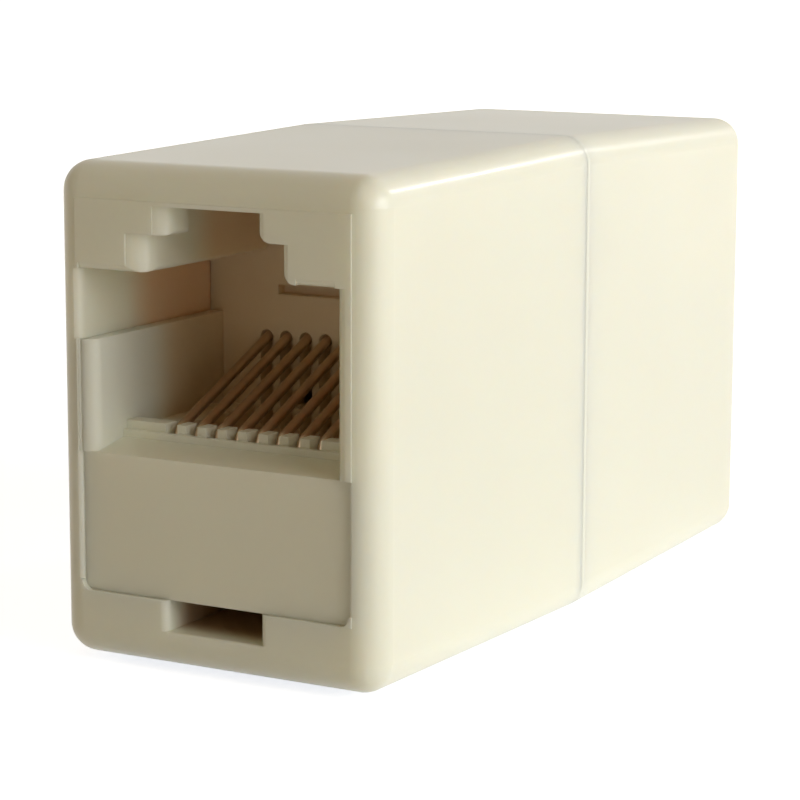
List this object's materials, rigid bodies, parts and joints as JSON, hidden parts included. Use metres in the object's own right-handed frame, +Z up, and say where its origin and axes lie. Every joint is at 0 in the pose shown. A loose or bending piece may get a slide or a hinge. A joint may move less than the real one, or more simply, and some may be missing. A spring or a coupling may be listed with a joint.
{
  "type": "rj45 inline coupler",
  "caption": "Small drafted plastic box with an eight-way modular plug port in each end, used to join two network cables end to end.",
  "frame": {"origin": "under the middle of the body, on the plane that its widest girth rests on", "axes": "+X across the port, to the right when the front port is looked into; +Y from the front port to the rear port; +Z up, towards the latch keyway of both ports"},
  "size_m": [0.0162, 0.0384, 0.022],
  "materials": {
    "shell": "satin ivory ABS",
    "carrier": "satin ivory",
    "contact": "gold-plated, bright",
    "board": "green glass-fibre board"
  },
  "bodies": {
    "root": {"front_shell": "shell", "rear_shell": "shell", "front_carrier": "carrier", "rear_carrier": "carrier", "front_contact_1": "contact", "front_contact_2": "contact", "front_contact_3": "contact", "front_contact_4": "contact", "front_contact_5": "contact", "front_contact_6": "contact", "front_contact_7": "contact", "front_contact_8": "contact", "rear_contact_1": "contact", "rear_contact_2": "contact", "rear_contact_3": "contact", "rear_contact_4": "contact", "rear_contact_5": "contact", "rear_contact_6": "contact", "rear_contact_7": "contact", "rear_contact_8": "contact", "link_board": "board"}
  },
  "joints": []
}
